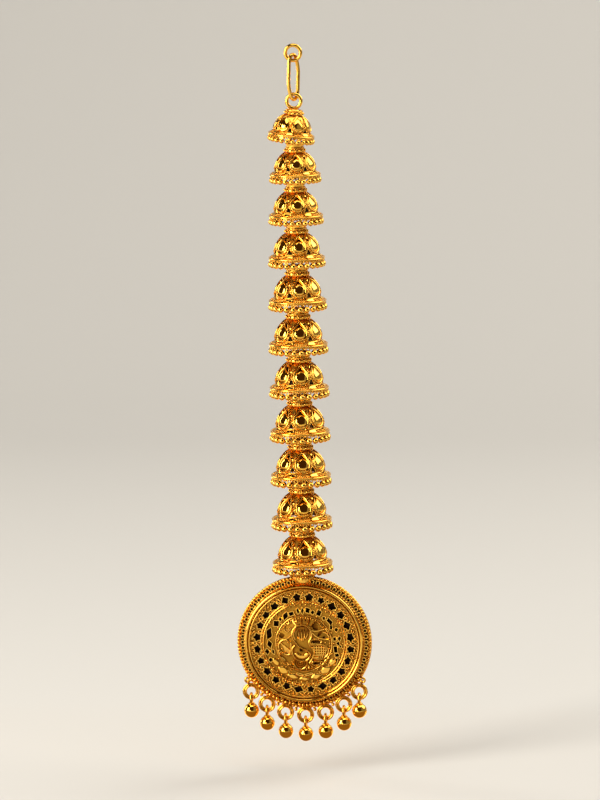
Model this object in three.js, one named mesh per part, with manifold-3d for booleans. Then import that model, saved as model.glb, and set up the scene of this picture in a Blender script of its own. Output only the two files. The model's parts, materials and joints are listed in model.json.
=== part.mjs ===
// Maang tikka, a gold jewel that hangs from the hair down to the forehead: a ring and a long oval
// link, eleven open bells that hang one inside the next, and a round pierced pendant with seven
// ball drops. Millimetres, +Z up; the face of the pendant looks towards -Y. The origin is the
// inside of the top ring's crown, where the hair hook carries the jewel.
import * as THREE from 'three';
import { mergeVertices } from 'three/addons/utils/BufferGeometryUtils.js';
import Module from 'manifold-3d';

const wasm = await Module();
wasm.setup();

// ---------------------------------------------------------------- driving dimensions
const RING_WIRE = 0.42; // wire radius of the two rings and the oval link at the top
const EYE_WIRE = 0.35; // wire radius of the eyes that hide inside the bells
const PLAY = 0.2; // air between a wire and the wire that it hangs on
const SLANTED_PLAY = 0.45; // the same where the wires cross at a slant

const TOP_RING_RADIUS = 1.67; // all ring radii are measured to the middle of the wire
const BELL_RING_RADIUS = 1.55;
const OVAL_HALF_WIDTH = 1.4;
const OVAL_TURN = THREE.MathUtils.degToRad(46); // the oval link hangs turned out of the front
const BELL_RING_HEIGHT = -11.9; // middle of the ring that is soldered on the first bell

const BELL_COUNT = 11;
const FIRST_MOUTH = -21.07; // height of the first bell's fringe bottom
const SMALLEST_BELL = 10.7; // diameters across the fringe
const LARGEST_BELL = 14;
const SHORTEST_STEP = 8.9; // height from one fringe bottom to the next
const LONGEST_STEP = 9.95;
const GRADING = 2.6; // how many bells it takes until the sizes level out
const FIRST_BELL_LEAN = THREE.MathUtils.degToRad(7); // the first bell sits askew on its wire

const EYE_RADIUS = 1.1;
const PENDANT_LINK_RADIUS = 1.6;

const PENDANT_DROP = 16.1; // from the last fringe down to the middle of the pendant
const FLANGE_RADIUS = 15.16;
const BEZEL_RADIUS = 13.3;
const FLANGE_THICKNESS = 1.2;
const BEZEL_HEIGHT = 3; // all depths are measured forward from the flat back of the flange
const PLATE_BACK = 1.4;
const PLATE_FACE = 2.4;
const BALANCE_DEPTH = 1.29; // the eye sits over the pendant's centre of mass
const CUT_OVERLAP = 0.2; // how far the piercing tools reach past the back of the plate
const PENDANT_NECK = { foot: 13.8, waist: 15.6, radius: 1.9, lip: 2.2, inFringe: 0.25 };

const LOOP_RADIUS = 1.45;
const LOOP_WIRE = 0.42;
const LOOP_ORBIT = 16.5; // from the middle of the pendant to the middle of a loop
const LOOP_DEPTH = 1.3;
const LOOP_SPACING = THREE.MathUtils.degToRad(15.8);
const END_RING = { radius: 0.55, wire: 0.3, orbit: 15.5, angle: THREE.MathUtils.degToRad(56.5) };
const DROP_COUNT = 7;
const DROP_WIRE = 0.33;
const DROP_HALF_WIDTH = 0.95;
const BALL_RADIUS = 1.7;
const BALL_BELOW_LOOP = 4.35; // middle of the loop to middle of the ball
const EYE_ABOVE_BALL = 1.45; // middle of the ball to the lower wire of its eye, soldered in

// ---------------------------------------------------------------- solids and booleans
function toSolid(geometry) {
  const bare = geometry.clone();
  bare.deleteAttribute('normal');
  bare.deleteAttribute('uv');
  const merged = mergeVertices(bare, 1e-4);
  return new wasm.Manifold(new wasm.Mesh({
    numProp: 3,
    vertProperties: Float32Array.from(merged.attributes.position.array),
    triVerts: Uint32Array.from(merged.index.array),
  }));
}

function toGeometry(solid) {
  const mesh = solid.getMesh();
  const geometry = new THREE.BufferGeometry();
  geometry.setAttribute('position', new THREE.BufferAttribute(mesh.vertProperties, 3));
  geometry.setIndex(new THREE.BufferAttribute(mesh.triVerts, 1));
  geometry.computeVertexNormals();
  return geometry;
}

function joined(geometries) {
  return geometries.map(toSolid).reduce((whole, next) => whole.add(next));
}

// A profile of [radius, height] points, turned about Z.
function turned(profile, facets) {
  const points = profile.map(([radius, height]) => new THREE.Vector2(radius, height));
  return new THREE.LatheGeometry(points, facets).rotateX(Math.PI / 2);
}

// A ring of wire that stands upright: its hole faces the front.
function frontRing(radius, wire, facets = 10, sides = 5) {
  return new THREE.TorusGeometry(radius, wire, sides, facets).rotateX(Math.PI / 2);
}

// The same ring seen edge-on from the front.
function sideRing(radius, wire, facets = 10, sides = 5) {
  return frontRing(radius, wire, facets, sides).rotateZ(Math.PI / 2);
}

// An upright ring pulled apart into an oval with straight sides.
function frontOval(halfWidth, halfHeight, wire, facets = 12, sides = 6) {
  const ring = new THREE.TorusGeometry(halfWidth, wire, sides, facets).rotateZ(Math.PI / facets);
  const position = ring.attributes.position;
  for (let i = 0; i < position.count; i += 1) {
    const height = position.getY(i);
    position.setY(i, height + Math.sign(height) * (halfHeight - halfWidth));
  }
  return ring.rotateX(Math.PI / 2);
}

function uprightPin(radius, bottom, top) {
  return new THREE.CylinderGeometry(radius, radius, top - bottom, 6)
    .rotateX(Math.PI / 2)
    .translate(0, 0, (top + bottom) / 2);
}

// ---------------------------------------------------------------- the graded row of bells
const grade = (index) => Math.exp(-index / GRADING);
const bellDiameter = (index) => LARGEST_BELL - (LARGEST_BELL - SMALLEST_BELL) * grade(index);
const stepBelow = (index) => LONGEST_STEP - (LONGEST_STEP - SHORTEST_STEP) * grade(index);

// Heights and radii of the largest bell; the smaller bells are scaled down from it.
const SHAPE = {
  domeRadius: 5.5,
  domeBase: 3.6,
  domeRise: 5.15, // half height of the ellipse that the dome follows
  domeStop: THREE.MathUtils.degToRad(63), // the dome ends there, under its collar
  wall: 0.55,
  roof: 7.6, // underside of the closed crown
  collarBottom: 8.35,
  collarTop: 8.85,
  neckFoot: 9,
  neckTop: 10.5,
  capTop: 9.65, // the first bell has a low cap in place of the neck
};
const BELL_FACETS = 16;

function domeArc(radius, rise, stop, steps) {
  return Array.from({ length: steps + 1 }, (_, i) => {
    const angle = (stop * i) / steps;
    return [radius * Math.cos(angle), SHAPE.domeBase + rise * Math.sin(angle)];
  });
}

function bellWall(scale, withNeck) {
  const innerRadius = SHAPE.domeRadius - SHAPE.wall;
  const innerRise = SHAPE.domeRise - SHAPE.wall;
  const innerStop = Math.asin((SHAPE.roof - SHAPE.domeBase) / innerRise);
  const inside = domeArc(innerRadius, innerRise, innerStop, 2).reverse();
  const fringe = [[6, 2.1], [5.75, 0.65], [6.4, 0], [7, 0.65], [6.6, 1.3]];
  const ledge = [[6.85, 2.3], [6.85, 2.65]];
  const outside = domeArc(SHAPE.domeRadius, SHAPE.domeRise, SHAPE.domeStop, 4);
  const collar = [[2.95, SHAPE.collarBottom], [2.95, SHAPE.collarTop]];
  const neck = [[2.2, SHAPE.neckFoot], [2.4, SHAPE.neckTop], [0, SHAPE.neckTop]];
  const cap = [[2, SHAPE.neckFoot], [1.4, SHAPE.capTop], [0, SHAPE.capTop]];
  const profile = [
    [0, SHAPE.roof], ...inside, ...fringe, ...ledge, ...outside, ...collar,
    ...(withNeck ? neck : cap),
  ];
  return turned(profile.map(([r, z]) => [r * scale, z * scale]), BELL_FACETS);
}

// Every bell: its scale, the height of its mouth, and the eye that stands on its neck.
const bells = [];
let mouth = FIRST_MOUTH;
for (let index = 0; index < BELL_COUNT; index += 1) {
  const scale = bellDiameter(index) / LARGEST_BELL;
  const neckTop = mouth + SHAPE.neckTop * scale;
  bells.push({ scale, mouth, eyeTop: neckTop - EYE_WIRE + 2 * EYE_RADIUS });
  mouth -= stepBelow(index);
}
const lastMouth = bells[BELL_COUNT - 1].mouth;

// A wire that hangs in another one: middle of the lower wire to middle of the upper one.
const hang = (wire, play = PLAY) => 2 * wire + play;

// ---------------------------------------------------------------- heights around the pendant
const pendantMiddle = lastMouth - PENDANT_DROP;
const pendantNeckTop = lastMouth + PENDANT_NECK.inFringe;
const pendantEyeTop = pendantNeckTop - EYE_WIRE + 2 * EYE_RADIUS;
const linkBottom = pendantEyeTop - hang(EYE_WIRE);
const linkTop = linkBottom + 2 * PENDANT_LINK_RADIUS;
const lastEyeBottom = linkTop - hang(EYE_WIRE);

// ---------------------------------------------------------------- pieces
function topRing() {
  return toSolid(frontRing(TOP_RING_RADIUS, RING_WIRE, 14)
    .translate(0, 0, RING_WIRE - TOP_RING_RADIUS));
}

function ovalLink() {
  const top = RING_WIRE - 2 * TOP_RING_RADIUS + hang(RING_WIRE, SLANTED_PLAY);
  const bottom = BELL_RING_HEIGHT + BELL_RING_RADIUS - hang(RING_WIRE, SLANTED_PLAY);
  return toSolid(frontOval(OVAL_HALF_WIDTH, (top - bottom) / 2, RING_WIRE)
    .rotateZ(OVAL_TURN)
    .translate(0, 0, (top + bottom) / 2));
}

// One soldered bell. The eye under its crown carries the neck eye of the next bell.
function bellSolid(index) {
  const { scale, mouth: bottom, eyeTop } = bells[index];
  const first = index === 0;
  const lowerEyeBottom = index < BELL_COUNT - 1
    ? bells[index + 1].eyeTop - hang(EYE_WIRE)
    : lastEyeBottom;
  const lowerEye = lowerEyeBottom + EYE_RADIUS;
  const collar = SHAPE.collarTop * scale;
  const wall = bellWall(scale, !first)
    .translate(0, 0, -collar)
    .rotateY(first ? FIRST_BELL_LEAN : 0)
    .translate(0, 0, collar + bottom);
  const upperRing = first
    ? frontRing(BELL_RING_RADIUS, RING_WIRE, 14).translate(0, 0, BELL_RING_HEIGHT)
    : frontRing(EYE_RADIUS, EYE_WIRE).translate(0, 0, eyeTop - EYE_RADIUS);
  return joined([
    wall,
    upperRing,
    uprightPin(EYE_WIRE, lowerEye + EYE_RADIUS, bottom + SHAPE.collarTop * scale),
    sideRing(EYE_RADIUS, EYE_WIRE).translate(0, 0, lowerEye),
  ]);
}

function pendantLink() {
  return toSolid(frontRing(PENDANT_LINK_RADIUS, EYE_WIRE, 14)
    .translate(0, 0, (linkTop + linkBottom) / 2));
}

// The face plate is pierced into a shallow hollow that a flat sheet closes at the back. The outer
// zone is pierced all the way round; the inner zone is closed at the bottom by plain leaves.
const OUTER_OPENINGS = { count: 24, orbit: 10.4, width: 1.4, height: 1.3, closedBelow: 0 };
const INNER_OPENINGS = { count: 16, orbit: 7.9, width: 1.2, height: 1.1, closedBelow: 70 };
const HOLLOW = { radius: 12, back: 0.5, front: PLATE_BACK };

function openings({ count, orbit, width, height, closedBelow }) {
  const cutters = [];
  for (let i = 0; i < count; i += 1) {
    const angle = ((i + 0.5) / count) * 2 * Math.PI; // counted round from straight down
    const fromBottom = THREE.MathUtils.radToDeg(Math.min(angle, 2 * Math.PI - angle));
    if (fromBottom > closedBelow) {
      cutters.push(new THREE.BoxGeometry(width, BEZEL_HEIGHT, height)
        .translate(0, CUT_OVERLAP - PLATE_BACK - BEZEL_HEIGHT / 2, -orbit)
        .rotateY(angle)
        .translate(0, BALANCE_DEPTH, 0));
    }
  }
  return cutters;
}

// A profile of [radius, depth] points, turned about the pendant's own axis.
function disc(profile, facets) {
  const points = profile.map(([radius, depth]) => new THREE.Vector2(radius, depth));
  return new THREE.LatheGeometry(points, facets)
    .rotateX(Math.PI)
    .translate(0, BALANCE_DEPTH, 0);
}

const loopAngle = (index) => (index - (DROP_COUNT - 1) / 2) * LOOP_SPACING;

// The soldered pendant: flange, bezel, pierced plate with the raised middle, loops and neck.
function pendantSolid() {
  const body = disc([
    [0, 0], [FLANGE_RADIUS, 0], [FLANGE_RADIUS, FLANGE_THICKNESS],
    [BEZEL_RADIUS, FLANGE_THICKNESS], [BEZEL_RADIUS, 2.7], [13.05, BEZEL_HEIGHT],
    [12.7, BEZEL_HEIGHT], [12.45, PLATE_FACE],
    [6.4, PLATE_FACE], [6, 2.8], [3, 3.1], [0, 3.2],
  ], 36);
  const hollow = disc([
    [0, HOLLOW.back], [HOLLOW.radius, HOLLOW.back], [HOLLOW.radius, HOLLOW.front], [0, HOLLOW.front],
  ], 36);
  const pierced = [hollow, ...openings(OUTER_OPENINGS), ...openings(INNER_OPENINGS)]
    .map(toSolid)
    .reduce((whole, cutter) => whole.subtract(cutter), toSolid(body));
  const loops = Array.from({ length: DROP_COUNT }, (_, i) => frontRing(LOOP_RADIUS, LOOP_WIRE, 10)
    .translate(0, BALANCE_DEPTH - LOOP_DEPTH, -LOOP_ORBIT)
    .rotateY(-loopAngle(i)));
  const endRings = [-1, 1].map((side) => frontRing(END_RING.radius, END_RING.wire, 6)
    .translate(0, BALANCE_DEPTH - LOOP_DEPTH, -END_RING.orbit)
    .rotateY(side * END_RING.angle));
  const neckTop = pendantNeckTop - pendantMiddle;
  const { foot, waist, radius, lip } = PENDANT_NECK;
  const neck = turned([[0, foot], [radius, foot], [radius, waist], [lip, neckTop], [0, neckTop]], 16);
  const eye = sideRing(EYE_RADIUS, EYE_WIRE)
    .translate(0, 0, pendantEyeTop - EYE_RADIUS - pendantMiddle);
  return pierced
    .add(joined([...loops, ...endRings, neck, eye]))
    .translate([0, 0, pendantMiddle]);
}

// A ball drop: its long eye stands edge-on and hangs over the lower wire of a loop.
function dropSolid(index) {
  const angle = loopAngle(index);
  const loopX = LOOP_ORBIT * Math.sin(angle);
  const loopZ = pendantMiddle - LOOP_ORBIT * Math.cos(angle);
  const eyeTop = LOOP_WIRE + DROP_WIRE + PLAY - LOOP_RADIUS;
  const eyeBottom = EYE_ABOVE_BALL - BALL_BELOW_LOOP;
  const eye = frontOval(DROP_HALF_WIDTH, (eyeTop - eyeBottom) / 2, DROP_WIRE, 10, 5)
    .rotateZ(Math.PI / 2)
    .translate(0, 0, (eyeTop + eyeBottom) / 2);
  const ball = new THREE.SphereGeometry(BALL_RADIUS, 10, 6)
    .rotateX(Math.PI / 2)
    .translate(0, 0, -BALL_BELOW_LOOP);
  return joined([eye, ball]).translate([loopX, BALANCE_DEPTH - LOOP_DEPTH, loopZ]);
}

// ---------------------------------------------------------------- the assembled jewel
const gold = { color: 0xe0a53a, roughness: 0.25, metalness: 1 };
const jewel = new THREE.Group();

function place(name, solid) {
  const mesh = new THREE.Mesh(toGeometry(solid), new THREE.MeshStandardMaterial(gold));
  mesh.name = name;
  jewel.add(mesh);
}

place('top_ring', topRing());
place('oval_link', ovalLink());
for (let index = 0; index < BELL_COUNT; index += 1) {
  place(`bell_${String(index + 1).padStart(2, '0')}`, bellSolid(index));
}
place('pendant_link', pendantLink());
place('pendant', pendantSolid());
for (let index = 0; index < DROP_COUNT; index += 1) {
  place(`drop_${index + 1}`, dropSolid(index));
}

export default jewel;
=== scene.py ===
# %% [markdown]
# # A maang tikka: bells in a row above a pierced pendant
# The jewel hangs from a ring in the hair. Below the ring come a long oval link, eleven open bells
# that hang one inside the next, and a round pendant with seven ball drops. Everything is high
# carat gold, so shape and finish do all the work: mirror panels, twisted wire, small grains and
# frosted sheet each catch the light in their own way. The CAD frame gives every place and size.

# %% Load the frame
import json
import math
import random

import bmesh
import bpy
from mathutils import Matrix, Vector

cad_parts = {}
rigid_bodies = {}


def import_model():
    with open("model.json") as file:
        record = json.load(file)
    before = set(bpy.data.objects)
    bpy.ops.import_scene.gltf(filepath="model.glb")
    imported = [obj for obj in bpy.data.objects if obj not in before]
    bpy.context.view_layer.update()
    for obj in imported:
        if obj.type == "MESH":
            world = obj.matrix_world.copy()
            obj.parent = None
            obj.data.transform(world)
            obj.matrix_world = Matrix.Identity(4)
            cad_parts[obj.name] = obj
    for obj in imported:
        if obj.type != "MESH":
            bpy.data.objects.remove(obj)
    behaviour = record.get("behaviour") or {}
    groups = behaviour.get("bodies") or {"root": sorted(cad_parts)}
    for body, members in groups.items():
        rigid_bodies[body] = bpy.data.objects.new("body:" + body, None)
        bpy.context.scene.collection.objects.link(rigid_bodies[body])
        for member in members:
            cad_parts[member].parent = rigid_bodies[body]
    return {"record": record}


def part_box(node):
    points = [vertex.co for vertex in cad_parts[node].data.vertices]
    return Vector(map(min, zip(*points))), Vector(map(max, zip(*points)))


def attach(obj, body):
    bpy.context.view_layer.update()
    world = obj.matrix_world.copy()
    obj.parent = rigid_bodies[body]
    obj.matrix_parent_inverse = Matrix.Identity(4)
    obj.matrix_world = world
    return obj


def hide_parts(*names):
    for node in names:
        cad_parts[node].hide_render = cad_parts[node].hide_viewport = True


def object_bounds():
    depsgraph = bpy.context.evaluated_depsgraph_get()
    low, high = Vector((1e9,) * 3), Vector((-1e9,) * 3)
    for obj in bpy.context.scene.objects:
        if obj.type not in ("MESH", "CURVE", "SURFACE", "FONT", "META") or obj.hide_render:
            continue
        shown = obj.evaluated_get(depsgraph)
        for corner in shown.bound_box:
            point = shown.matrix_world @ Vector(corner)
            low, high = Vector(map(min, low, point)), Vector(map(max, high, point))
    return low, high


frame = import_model()
cad_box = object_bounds()
MM = 0.001
TURN = 2 * math.pi
print("CAD box, mm:", [[round(v / MM, 1) for v in corner] for corner in cad_box])

# %% [markdown]
# The camera looks from a little above and a little to the right, through a long lens, so the
# bells show the tops of their ledges and the pendant shows the wall of its bezel. The chain
# leans by about one degree in the frame, which is the camera's own roll.

# %% Camera
FRAME_HEIGHT = 177.6 * MM  # height of the view at the jewel
CAMERA_DISTANCE = 1.1
CAMERA_LIFT = math.radians(9)
CAMERA_SIDE = math.radians(6)
CAMERA_ROLL = math.radians(-1.1)
AIM = Vector((0.1 * MM, 0, -78.5 * MM))

away = Vector((
    math.sin(CAMERA_SIDE) * math.cos(CAMERA_LIFT),
    -math.cos(CAMERA_SIDE) * math.cos(CAMERA_LIFT),
    math.sin(CAMERA_LIFT),
))
camera_data = bpy.data.cameras.new("camera")
camera_data.sensor_fit = "VERTICAL"
camera_data.sensor_height = 24
camera_data.lens = camera_data.sensor_height * CAMERA_DISTANCE / FRAME_HEIGHT
camera_data.clip_start = 0.05
camera = bpy.data.objects.new("camera", camera_data)
camera.location = AIM + away * CAMERA_DISTANCE
camera.rotation_euler = (
    away.to_track_quat("Z", "Y").to_matrix() @ Matrix.Rotation(CAMERA_ROLL, 3, "Z")
).to_euler()
bpy.context.scene.collection.objects.link(camera)
bpy.context.scene.camera = camera
print("lens, mm:", round(camera_data.lens, 1))

# %% [markdown]
# Gold shows whatever stands round it. On a pale set alone it would look flat, so the set is lit
# as a jeweller lights it: a broad soft light on the left, a narrow one in front, a wash and a rim
# light from behind, and dark cards that put the deep browns back into the metal. The cards are
# seen only by reflections, and a small bright one lies under the ball drops.

# %% Set: floor, lights and cards
FLOOR_GAP = 7 * MM
floor_height = cad_box[0][2] - FLOOR_GAP
middle = Vector((0, 0, (cad_box[0][2] + cad_box[1][2]) / 2))


def seen_from(side, lift, distance):
    """A place round the jewel: degrees to the right of its front, degrees up, metres away."""
    side, lift = math.radians(side), math.radians(lift)
    flat = math.cos(lift)
    return middle + distance * Vector((
        math.sin(side) * flat, -math.cos(side) * flat, math.sin(lift),
    ))


def paint(name, colour, roughness):
    """A plain material for the set."""
    material = bpy.data.materials.new(name)
    material.use_nodes = True
    shader = material.node_tree.nodes["Principled BSDF"]
    shader.inputs["Base Color"].default_value = (*colour, 1)
    shader.inputs["Roughness"].default_value = roughness
    return material


def sweep(name, width, depth, rise, bend):
    """A floor that curves up into a wall behind the jewel, as a roll of studio paper does."""
    bm = bmesh.new()
    profile = [(-depth, 0), (depth * 0.5 - bend, 0)]
    for step in range(1, 13):
        angle = step / 12 * TURN / 4
        profile.append((
            depth * 0.5 - bend + bend * math.sin(angle),
            bend - bend * math.cos(angle),
        ))
    profile.append((depth * 0.5, rise))
    verts = [bm.verts.new((-width / 2, y, z + floor_height)) for y, z in profile]
    edges = [bm.edges.new(pair) for pair in zip(verts, verts[1:])]
    out = bmesh.ops.extrude_edge_only(bm, edges=edges)
    moved = [item for item in out["geom"] if isinstance(item, bmesh.types.BMVert)]
    bmesh.ops.translate(bm, verts=moved, vec=(width, 0, 0))
    bmesh.ops.recalc_face_normals(bm, faces=bm.faces)
    mesh = bpy.data.meshes.new(name)
    bm.to_mesh(mesh)
    bm.free()
    for polygon in mesh.polygons:
        polygon.use_smooth = True
    return bpy.data.objects.new(name, mesh)


def glow(name, colour):
    """An even, dim glow for cards that only reflections see."""
    material = bpy.data.materials.new(name)
    material.use_nodes = True
    nodes, links = material.node_tree.nodes, material.node_tree.links
    nodes.remove(nodes["Principled BSDF"])
    emitter = nodes.new("ShaderNodeEmission")
    emitter.inputs["Color"].default_value = (*colour, 1)
    links.new(emitter.outputs["Emission"], nodes["Material Output"].inputs["Surface"])
    return material


def card(name, place, size, colour, facing=None):
    """A card that only reflections see. It faces the jewel, or the way it's told to."""
    bm = bmesh.new()
    bmesh.ops.create_grid(bm, x_segments=1, y_segments=1, size=0.5)
    bmesh.ops.scale(bm, verts=bm.verts, vec=(size[0], size[1], 1))
    facing = facing or place - middle
    turned = facing.to_track_quat("Z", "Y").to_matrix().to_4x4()
    bmesh.ops.transform(bm, matrix=Matrix.Translation(place) @ turned, verts=bm.verts)
    mesh = bpy.data.meshes.new(name)
    bm.to_mesh(mesh)
    bm.free()
    mesh.materials.append(glow(name, colour))
    obj = bpy.data.objects.new(name, mesh)
    obj.visible_camera = False
    obj.visible_diffuse = False
    obj.visible_shadow = False
    return obj


def soft_light(name, side, lift, distance, size, power, colour):
    """A rectangular light turned to face the jewel."""
    centre = seen_from(side, lift, distance)
    data = bpy.data.lights.new(name, "AREA")
    data.shape = "RECTANGLE"
    data.size, data.size_y = size
    data.energy = power
    data.color = colour
    obj = bpy.data.objects.new(name, data)
    obj.location = centre
    obj.rotation_euler = (centre - middle).to_track_quat("Z", "Y").to_euler()
    obj.visible_camera = False
    return obj


paper = sweep("paper_sweep", 3.0, 1.6, 1.4, 0.35)
paper.data.materials.append(paint("pale_paper", (0.6, 0.585, 0.56), 0.85))
DUSK = (0.045, 0.022, 0.008)
FLOOR_DUSK = (0.3, 0.17, 0.055)
PALE = (1.5, 1.15, 0.65)
UPWARDS = Vector((0, 0, 1))
over_floor = Vector((0, 0, floor_height + 1.5 * MM))
under_drops = Vector((-8 * MM, 26 * MM, floor_height + 2.5 * MM))
set_pieces = [
    paper,
    card("card_front", seen_from(0, 12, 1.3), (2.0, 2.0), DUSK),
    card("card_front_high", seen_from(0, 60, 1.2), (1.8, 1.0), DUSK),
    card("card_left", seen_from(-82, 10, 1.0), (1.7, 1.4), DUSK),
    card("card_upper_left", seen_from(-95, 60, 1.1), (1.3, 1.0), DUSK),
    card("card_right", seen_from(80, -20, 1.1), (1.2, 0.7), DUSK),
    card("card_floor", over_floor, (0.4, 0.13), FLOOR_DUSK, UPWARDS),
    card("card_under_drops", under_drops, (0.12, 0.04), PALE, UPWARDS),
]
lights = [
    soft_light("key", -52, 18, 0.62, (0.25, 0.5), 4.2, (1.0, 0.96, 0.88)),
    soft_light("front_strip", -22, -2, 0.85, (0.16, 0.36), 1.1, (1.0, 0.95, 0.85)),
    soft_light("right_wash", 112, 40, 0.75, (0.6, 0.6), 4.4, (1.0, 0.96, 0.88)),
    soft_light("left_rim", -118, 8, 0.7, (0.14, 0.5), 1.5, (1.0, 0.97, 0.9)),
    soft_light("crown", 20, 82, 0.7, (0.5, 0.4), 2.2, (1.0, 0.96, 0.9)),
]
for obj in set_pieces + lights:
    bpy.context.scene.collection.objects.link(obj)

world = bpy.data.worlds.new("studio")
world.use_nodes = True
world.node_tree.nodes["Background"].inputs["Color"].default_value = (0.9, 0.86, 0.8, 1)
world.node_tree.nodes["Background"].inputs["Strength"].default_value = 0.3
bpy.context.scene.world = world
bpy.context.scene.view_settings.view_transform = "Standard"
print("floor height, mm:", round(floor_height / MM, 1))

# %% [markdown]
# All the gold is one alloy, and what differs is how its surface was left. Burnished panels and
# balls are nearly mirrors with a slight waver. Drawn wire is bright but finely scored. Sheet that
# was stamped and pickled is frosted. Deep corners get painted shade: ambient occlusion finds them
# and turns the colour there to an orange red between bright wires and a dark brown in the
# pendant's recesses. The pendant's recessed sheet is darkened all over as painted shade too.

# %% Colours and shader helpers
ALLOY = (1.0, 0.6, 0.11)
WARM_ALLOY = (0.95, 0.48, 0.05)
# Painted shade for corners: a dark brown for the pendant's recesses and an orange red between wires.
BLOOM = (0.2, 0.055, 0.004)
EMBER = (0.78, 0.33, 0.015)


def fresh_material(name):
    """A new material with its nodes, its links, its shader and a reader of Object coordinates."""
    material = bpy.data.materials.new(name)
    material.use_nodes = True
    nodes = material.node_tree.nodes
    place = nodes.new("ShaderNodeTexCoord").outputs["Object"]
    return material, nodes, material.node_tree.links, nodes["Principled BSDF"], place


def noise(nodes, links, place, scale, detail):
    """A cloud of noise on the piece's own coordinates."""
    cloud = nodes.new("ShaderNodeTexNoise")
    cloud.inputs["Scale"].default_value = scale
    cloud.inputs["Detail"].default_value = detail
    links.new(place, cloud.inputs["Vector"])
    return cloud.outputs["Fac"]


def ramp(nodes, links, value, low, high, start=0.0, end=1.0):
    """Carry a value that runs from start to end over to the range from low to high."""
    carry = nodes.new("ShaderNodeMapRange")
    carry.inputs["From Min"].default_value = start
    carry.inputs["From Max"].default_value = end
    carry.inputs["To Min"].default_value = low
    carry.inputs["To Max"].default_value = high
    links.new(value, carry.inputs["Value"])
    return carry.outputs["Result"]


def blend(nodes, links, share, first, second):
    """Mix two colours, of which the first may also be another node's output."""
    mix = nodes.new("ShaderNodeMix")
    mix.data_type = "RGBA"
    links.new(share, mix.inputs["Factor"])
    if isinstance(first, tuple):
        mix.inputs["A"].default_value = (*first, 1)
    else:
        links.new(first, mix.inputs["A"])
    mix.inputs["B"].default_value = (*second, 1)
    return mix.outputs["Result"]


def relief(nodes, links, height, distance, below=None):
    """Bump of a given depth in metres, laid over another bump where one is given."""
    bump = nodes.new("ShaderNodeBump")
    bump.inputs["Distance"].default_value = distance
    links.new(height, bump.inputs["Height"])
    if below is not None:
        links.new(below, bump.inputs["Normal"])
    return bump.outputs["Normal"]


# %% Gold finishes
WEAR_LOW, WEAR_HIGH = 0.3, 0.7  # the part of the noise that roughness follows
CORNER_DEEP, CORNER_OPEN = 0.3, 0.92  # how shut in a place is, from full painted shade to none


def gold(name, roughness, spread, waver, waver_scale, grain, grain_scale,
         bloom=0.75, reach=0.5, tint=1.0, stain=EMBER, clean=ALLOY):
    """A gold finish: roughness that varies by spread, a slow waver and a fine grain in relief,
    and painted shade: colour darkened in corners that are closer than reach, in millimetres."""
    material, nodes, links, shader, place = fresh_material(name)
    shader.inputs["Metallic"].default_value = 1.0
    # A multiplier under 1 darkens the whole finish as painted shade.
    pale = tuple(tint * part for part in clean)
    warm = tuple(tint * part for part in WARM_ALLOY)
    tone = blend(nodes, links, noise(nodes, links, place, 260, 3), pale, warm)
    # Painted shade: where ambient occlusion finds a corner, the colour turns towards the shade colour.
    corner = nodes.new("ShaderNodeAmbientOcclusion")
    corner.samples = 4
    corner.inputs["Distance"].default_value = reach * MM
    depth = ramp(nodes, links, corner.outputs["AO"], bloom, 0.0, CORNER_DEEP, CORNER_OPEN)
    links.new(blend(nodes, links, depth, tone, stain), shader.inputs["Base Color"])

    wear = noise(nodes, links, place, 1400, 4)
    polish = ramp(nodes, links, wear, roughness - spread, roughness + spread, WEAR_LOW, WEAR_HIGH)
    links.new(polish, shader.inputs["Roughness"])

    slow = relief(nodes, links, noise(nodes, links, place, waver_scale, 1), waver * MM)
    fine = relief(nodes, links, noise(nodes, links, place, grain_scale, 3), grain * MM, slow)
    links.new(fine, shader.inputs["Normal"])
    return material


BURNISHED = gold("burnished_gold", 0.1, 0.04, 0.05, 500, 0.002, 6000, bloom=0.5, reach=0.3)
DRAWN = gold("drawn_wire_gold", 0.2, 0.06, 0.03, 900, 0.006, 5000)
FROSTED = gold("frosted_sheet_gold", 0.38, 0.1, 0.04, 900, 0.02, 7000, bloom=0.8, reach=0.6)
# The pendant's recessed sheet: gold darkened to about half, with dark brown corners, all painted shade.
PICKLED = gold("recess_gold_painted_shade", 0.48, 0.1, 0.05, 900, 0.04, 6000, bloom=0.97,
               reach=1.1, tint=0.52, stain=BLOOM, clean=WARM_ALLOY)
GRAINED = gold("granule_gold", 0.22, 0.07, 0.02, 1200, 0.006, 6000, bloom=0.8, reach=0.4)


def scale_oxide():
    """A near-black lining that paints the shade inside hollows."""
    material, nodes, links, shader, place = fresh_material("dark_lining_painted_shade")
    shader.inputs["Metallic"].default_value = 0.7
    cloud = noise(nodes, links, place, 900, 2)
    tone = blend(nodes, links, cloud, (0.02, 0.008, 0.003), (0.07, 0.028, 0.008))
    links.new(tone, shader.inputs["Base Color"])
    links.new(ramp(nodes, links, cloud, 0.45, 0.75), shader.inputs["Roughness"])
    links.new(relief(nodes, links, cloud, 0.03 * MM), shader.inputs["Normal"])
    return material


OXIDE = scale_oxide()
print("finishes:", ", ".join(m.name for m in (BURNISHED, DRAWN, FROSTED, PICKLED, GRAINED, OXIDE)))

# %% [markdown]
# A jeweller has few moves, and the helpers are named for them: turn a profile on the lathe, draw
# wire along a path, twist two wires into a rope, melt grains, and raise a small pillow from
# sheet. Each returns a bmesh in millimetres; `lay` drops one bmesh into another, and `finish`
# scales the result into the frame and says which body it rides on.

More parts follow.
